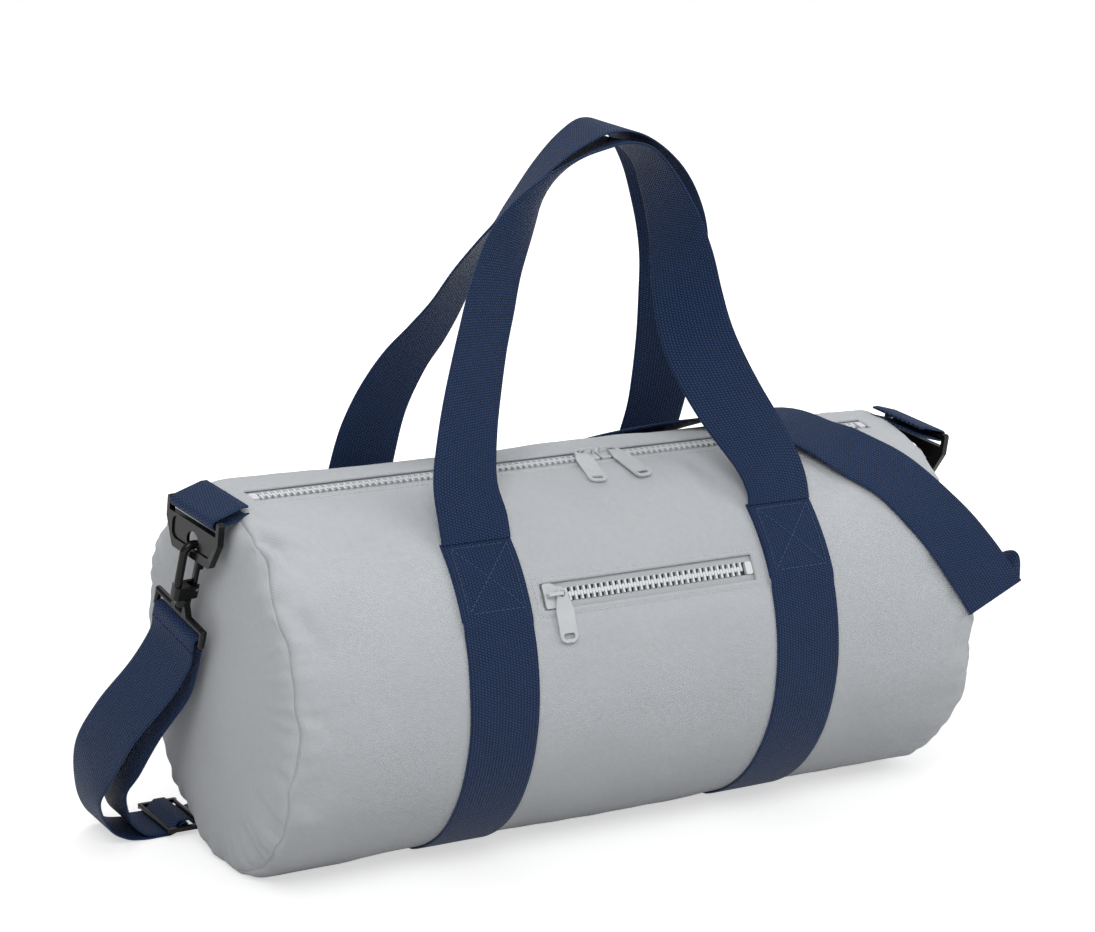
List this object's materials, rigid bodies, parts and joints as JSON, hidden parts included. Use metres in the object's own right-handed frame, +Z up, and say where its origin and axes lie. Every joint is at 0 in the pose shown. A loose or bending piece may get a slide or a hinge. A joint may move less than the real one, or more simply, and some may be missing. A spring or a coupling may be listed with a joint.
{
  "type": "barrel bag",
  "caption": "Zipped cylindrical holdall with round ends, webbing bands, two grab handles, a zipped front pocket and a clip-on shoulder strap.",
  "frame": {"origin": "on the floor, below the middle of the barrel", "axes": "+X along the barrel to its right end, -Y to the front with the pocket, +Z up"},
  "size_m": [0.6155, 0.2626, 0.462],
  "materials": {
    "bag_cloth": "matt fine weave",
    "webbing": "ribbed weave",
    "black_plastic": "gloss",
    "zip_teeth": "satin",
    "zip_tape": "matt weave",
    "painted_metal": "satin paint",
    "binding_tape": "matt weave",
    "lining": "matt weave",
    "pin_steel": "satin"
  },
  "bodies": {
    "root": {"barrel_panel": "bag_cloth", "end_cap_left": "bag_cloth", "end_cap_right": "bag_cloth", "seam_binding_left": "binding_tape", "seam_binding_right": "binding_tape", "webbing_band_left": "webbing", "webbing_band_right": "webbing", "handle_tails_front": "webbing", "handle_tails_rear": "webbing", "main_zip_tape_front": "zip_tape", "main_zip_tape_rear": "zip_tape", "main_zip_teeth_front": "zip_teeth", "main_zip_teeth_rear": "zip_teeth", "main_zip_stops": "zip_teeth", "pocket_zip_tape_lower": "zip_tape", "pocket_zip_tape_upper": "zip_tape", "pocket_zip_teeth_lower": "zip_teeth", "pocket_zip_teeth_upper": "zip_teeth", "pocket_zip_stop": "zip_teeth", "pocket_lining": "lining", "ring_tab_left": "webbing", "ring_tab_right": "webbing", "strap_slider": "black_plastic", "strap_sewn_end": "webbing", "shoulder_strap": "webbing", "strap_drop_left": "webbing", "strap_return_right": "webbing"},
    "front_handle": {"handle_front": "webbing"},
    "rear_handle": {"handle_rear": "webbing"},
    "left_slider": {"main_slider_left": "painted_metal"},
    "left_pull": {"main_pull_left": "painted_metal"},
    "right_slider": {"main_slider_right": "painted_metal"},
    "right_pull": {"main_pull_right": "painted_metal"},
    "front_slider": {"pocket_slider": "painted_metal"},
    "front_pull": {"pocket_pull": "painted_metal"},
    "left_ring": {"ring_left": "black_plastic"},
    "left_hook": {"snap_hook_left": "black_plastic", "gate_pin_left": "pin_steel"},
    "left_gate": {"hook_gate_left": "black_plastic"},
    "left_frame": {"swivel_frame_left": "black_plastic", "strap_loop_left": "webbing"},
    "right_ring": {"ring_right": "black_plastic"},
    "right_hook": {"snap_hook_right": "black_plastic", "gate_pin_right": "pin_steel"},
    "right_gate": {"hook_gate_right": "black_plastic"},
    "right_frame": {"swivel_frame_right": "black_plastic", "strap_loop_right": "webbing"}
  },
  "joints": [
    {"name": "rear_handle_fold", "type": "hinge", "parent": "root", "child": "rear_handle", "pos_m": [0, 0.08707, 0.21686], "axis": [-1, 0, 0], "range_deg": [0, 140]},
    {"name": "front_handle_fold", "type": "hinge", "parent": "root", "child": "front_handle", "pos_m": [0, -0.08707, 0.21686], "axis": [1, 0, 0], "range_deg": [0, 140]},
    {"name": "left_slider_run", "type": "slide", "parent": "root", "child": "left_slider", "axis": [-1, 0, 0], "range_m": [0, 0.225], "deforming": ["main_zip_teeth_front", "main_zip_teeth_rear"]},
    {"name": "right_slider_run", "type": "slide", "parent": "root", "child": "right_slider", "axis": [1, 0, 0], "range_m": [0, 0.194], "deforming": ["main_zip_teeth_front", "main_zip_teeth_rear"]},
    {"name": "pocket_slider_run", "type": "slide", "parent": "root", "child": "front_slider", "axis": [1, 0, 0], "range_m": [0, 0.13], "deforming": ["pocket_zip_teeth_lower", "pocket_zip_teeth_upper"]},
    {"name": "left_pull_swing", "type": "hinge", "parent": "left_slider", "child": "left_pull", "pos_m": [-0.00185, -0.0222, 0.24691], "axis": [0, -0.2924, 0.9563], "range_deg": [-40, 30]},
    {"name": "right_pull_swing", "type": "hinge", "parent": "right_slider", "child": "right_pull", "pos_m": [0.02285, -0.0222, 0.24691], "axis": [0, -0.2924, 0.9563], "range_deg": [-30, 40]},
    {"name": "pocket_pull_swing", "type": "hinge", "parent": "front_slider", "child": "front_pull", "pos_m": [-0.06515, -0.11288, 0.18102], "axis": [0, -0.9336, 0.3584], "range_deg": [-15, 33]},
    {"name": "left_ring_tilt", "type": "hinge", "parent": "root", "child": "left_ring", "pos_m": [-0.271, -0.02171, 0.2381], "axis": [-0.1908, 0.9667, 0.1705], "range_deg": [0, 35], "deforming": ["strap_drop_left"]},
    {"name": "left_hook_swing", "type": "hinge", "parent": "left_ring", "child": "left_hook", "pos_m": [-0.27164, -0.01846, 0.21898], "axis": [-0.9811, -0.1936, 0], "range_deg": [-20, 20], "deforming": ["strap_drop_left"]},
    {"name": "left_gate_press", "type": "hinge", "parent": "left_hook", "child": "left_gate", "pos_m": [-0.26801, -0.00586, 0.18662], "axis": [0.1822, -0.923, -0.339], "range_deg": [0, 13], "stiffness_Nm_per_rad": 0.02, "springref_deg": -8.59},
    {"name": "left_frame_swivel", "type": "hinge", "parent": "left_hook", "child": "left_frame", "pos_m": [-0.27219, -0.01567, 0.21108], "axis": [0.0656, -0.3326, 0.9408], "range_deg": [-20, 15], "deforming": ["strap_drop_left"]},
    {"name": "right_ring_tilt", "type": "hinge", "parent": "root", "child": "right_ring", "pos_m": [0.271, -0.02171, 0.2381], "axis": [0.1908, -0.9667, -0.1705], "range_deg": [0, 35], "deforming": ["strap_return_right"]},
    {"name": "right_hook_swing", "type": "hinge", "parent": "right_ring", "child": "right_hook", "pos_m": [0.27036, -0.01846, 0.21898], "axis": [0.9811, 0.1936, 0], "range_deg": [-20, 15], "deforming": ["strap_return_right"]},
    {"name": "right_gate_press", "type": "hinge", "parent": "right_hook", "child": "right_gate", "pos_m": [0.26677, -0.03127, 0.1867], "axis": [-0.1817, 0.9208, -0.3451], "range_deg": [0, 13], "stiffness_Nm_per_rad": 0.02, "springref_deg": -8.59},
    {"name": "right_frame_swivel", "type": "hinge", "parent": "right_hook", "child": "right_frame", "pos_m": [0.27092, -0.02131, 0.2111], "axis": [-0.0668, 0.3385, 0.9386], "range_deg": [-20, 12], "deforming": ["strap_return_right"]}
  ],
  "couplings": [
    {"joint": "front_handle_fold", "follows": "rear_handle_fold", "ratio": 1}
  ]
}
